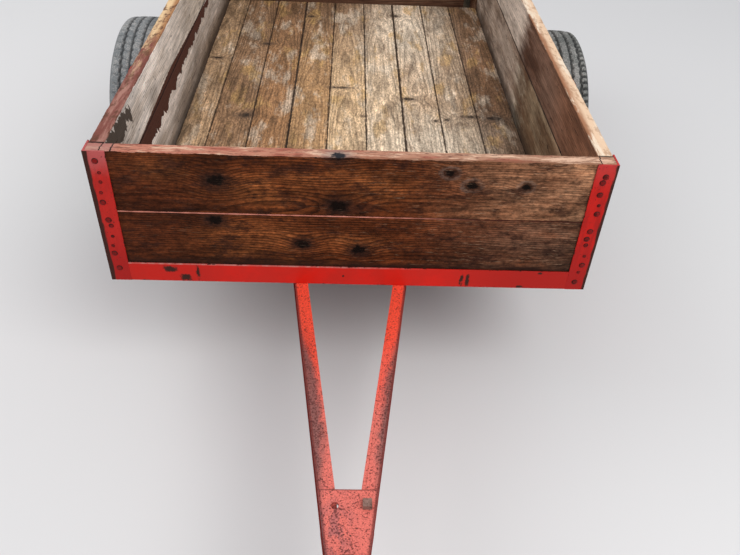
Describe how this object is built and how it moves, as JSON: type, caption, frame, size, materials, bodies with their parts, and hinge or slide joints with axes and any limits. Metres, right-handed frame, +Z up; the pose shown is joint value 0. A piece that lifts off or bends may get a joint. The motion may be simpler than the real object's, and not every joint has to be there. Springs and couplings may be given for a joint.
{
  "type": "utility trailer",
  "caption": "Two-wheeled utility trailer with a plank cargo box on an angle-steel frame, lift-out rear gate, V tongue with ball coupler and folding prop leg.",
  "frame": {"origin": "on the ground under the middle of the whole trailer's box", "axes": "+Y from the coupler towards the gate, +Z up, +X to the right seen from the tongue looking at the box"},
  "size_m": [1.729, 3.2167, 0.8066],
  "materials": {
    "red_paint": "weathered",
    "floor_wood": "weathered",
    "wall_wood": "weathered",
    "rusty_steel": "rusty",
    "tyre_rubber": "dusty",
    "rim_paint": "weathered"
  },
  "bodies": {
    "chassis": {"post_front_left": "red_paint", "post_front_right": "red_paint", "post_rear_right": "red_paint", "post_rear_left": "red_paint", "rail_front": "red_paint", "rail_rear": "red_paint", "rail_left": "red_paint", "rail_right": "red_paint", "cross_members": "red_paint", "floor_planks": "floor_wood", "front_board_lower": "wall_wood", "front_board_upper": "wall_wood", "left_board_lower": "wall_wood", "left_board_upper": "wall_wood", "right_board_lower": "wall_wood", "right_board_upper": "wall_wood", "guide_left": "rusty_steel", "guide_right": "rusty_steel", "stakes_left": "red_paint", "stakes_right": "red_paint", "tongue_bar_left": "red_paint", "tongue_bar_right": "red_paint", "tongue_plate": "red_paint", "tongue_under_plate": "red_paint", "tongue_tube": "red_paint", "tongue_bolt": "rusty_steel", "coupler_body": "rusty_steel", "coupler_latch": "rusty_steel", "prop_bracket": "red_paint", "prop_pin": "rusty_steel", "axle": "rusty_steel", "spring_left": "rusty_steel", "spring_right": "rusty_steel", "spring_hangers": "rusty_steel", "axle_clamps": "rusty_steel"},
    "gate": {"gate_board_lower": "wall_wood", "gate_board_upper": "wall_wood", "gate_straps": "rusty_steel"},
    "prop": {"prop_tube": "red_paint", "prop_foot": "red_paint"},
    "wheel_left": {"tyre_left": "tyre_rubber", "rim_left": "rim_paint", "hub_left": "rusty_steel"},
    "wheel_right": {"tyre_right": "tyre_rubber", "rim_right": "rim_paint", "hub_right": "rusty_steel"}
  },
  "joints": [
    {"name": "wheel_left_spin", "type": "hinge", "parent": "chassis", "child": "wheel_left", "pos_m": [-0.766, 0.54555, 0.345], "axis": [1, 0, 0], "continuous": true},
    {"name": "wheel_right_spin", "type": "hinge", "parent": "chassis", "child": "wheel_right", "pos_m": [0.766, 0.54555, 0.345], "axis": [1, 0, 0], "continuous": true},
    {"name": "gate_lift", "type": "slide", "parent": "chassis", "child": "gate", "axis": [0, 0, 1], "range_m": [0, 0.38]},
    {"name": "prop_swing", "type": "hinge", "parent": "chassis", "child": "prop", "pos_m": [0, -1.40936, 0.2898], "axis": [1, 0, 0], "range_deg": [0, 85]}
  ]
}
